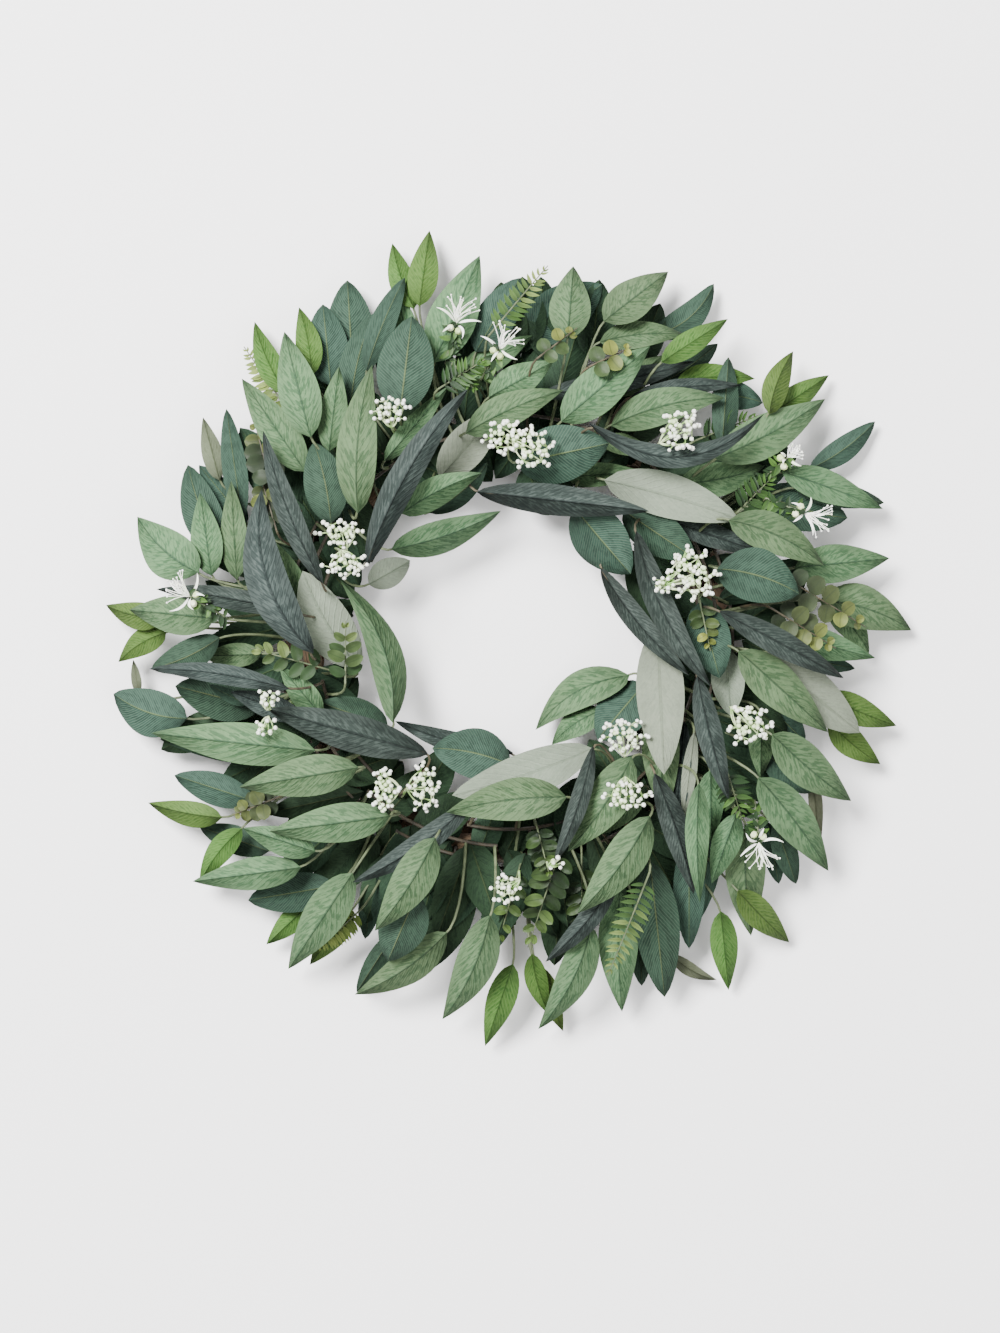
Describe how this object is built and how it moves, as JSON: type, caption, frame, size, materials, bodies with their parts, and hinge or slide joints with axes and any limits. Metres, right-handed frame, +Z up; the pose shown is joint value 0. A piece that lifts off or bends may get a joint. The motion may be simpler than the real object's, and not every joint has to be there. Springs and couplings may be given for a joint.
{
  "type": "greenery wreath",
  "caption": "Round greenery wreath: leaf sprays, fern fronds, white berry heads and spidery blooms on a twisted vine ring with an open middle, lying on its back.",
  "frame": {"origin": "on the ground under the middle of the wreath, where its bounding box has the centre of its base", "axes": "+Z up, out of the front of the wreath; +Y towards the top of the wreath as it is pictured; +X to its right"},
  "size_m": [0.608, 0.616, 0.1035],
  "materials": {
    "vine": "twisted brown vine, matte",
    "leaf_sage": "matte sage green leaf with pale veins",
    "leaf_dark": "matte blue-green leaf with a faint midrib",
    "leaf_willow": "matte grey-green long leaf",
    "leaf_pale": "matte pale underside of a leaf",
    "leaf_bright": "matte yellow-green leaf",
    "frond_fern": "pale yellow-green fern",
    "frond_grey": "pale grey-green fern",
    "frond_olive": "olive green round leaves",
    "frond_box": "pale green box leaves",
    "frond_deep": "deep green box leaves",
    "frond_inner": "mid green box leaves",
    "frond_tuft": "green narrow tuft leaves",
    "berry": "off-white berries on pale green stalks",
    "bloom": "white thin petals"
  },
  "bodies": {
    "root": {"vine_ring": "vine", "berries_upper_left": "berry", "berries_left": "berry", "berries_top": "berry", "berries_upper_right": "berry", "berries_right": "berry", "berries_lower_right": "berry", "berries_inner_right": "berry", "berries_foot": "berry", "berries_lower_left": "berry", "berries_far_left": "berry", "bloom_top": "bloom", "bloom_left": "bloom", "bloom_right": "bloom", "bloom_lower_right": "bloom", "fern_top": "frond_fern", "fern_left": "frond_fern", "fern_foot": "frond_grey", "olive_left": "frond_olive", "olive_right": "frond_olive", "box_left": "frond_box", "box_foot": "frond_deep", "box_top": "frond_box", "box_inner": "frond_inner", "tuft_low": "frond_tuft", "tuft_high": "frond_tuft", "sage_spray_1": "leaf_sage", "sage_spray_2": "leaf_sage", "sage_spray_3": "leaf_sage", "sage_spray_4": "leaf_sage", "sage_spray_5": "leaf_sage", "sage_spray_6": "leaf_sage", "sage_spray_7": "leaf_sage", "sage_spray_8": "leaf_sage", "dark_spray_1": "leaf_dark", "dark_spray_2": "leaf_dark", "dark_spray_3": "leaf_dark", "dark_spray_4": "leaf_dark", "dark_spray_5": "leaf_dark", "dark_spray_6": "leaf_dark", "dark_spray_7": "leaf_dark", "dark_spray_8": "leaf_dark", "willow_spray_1": "leaf_willow", "willow_spray_2": "leaf_willow", "willow_spray_3": "leaf_willow", "willow_spray_4": "leaf_willow", "willow_spray_5": "leaf_willow", "willow_spray_6": "leaf_willow", "pale_spray_1": "leaf_pale", "pale_spray_2": "leaf_pale", "pale_spray_3": "leaf_pale", "pale_spray_4": "leaf_pale", "pale_spray_5": "leaf_pale", "bright_spray_1": "leaf_bright", "bright_spray_2": "leaf_bright", "bright_spray_3": "leaf_bright", "bright_spray_4": "leaf_bright", "bright_spray_5": "leaf_bright", "bright_spray_6": "leaf_bright", "bright_spray_7": "leaf_bright"}
  },
  "joints": []
}
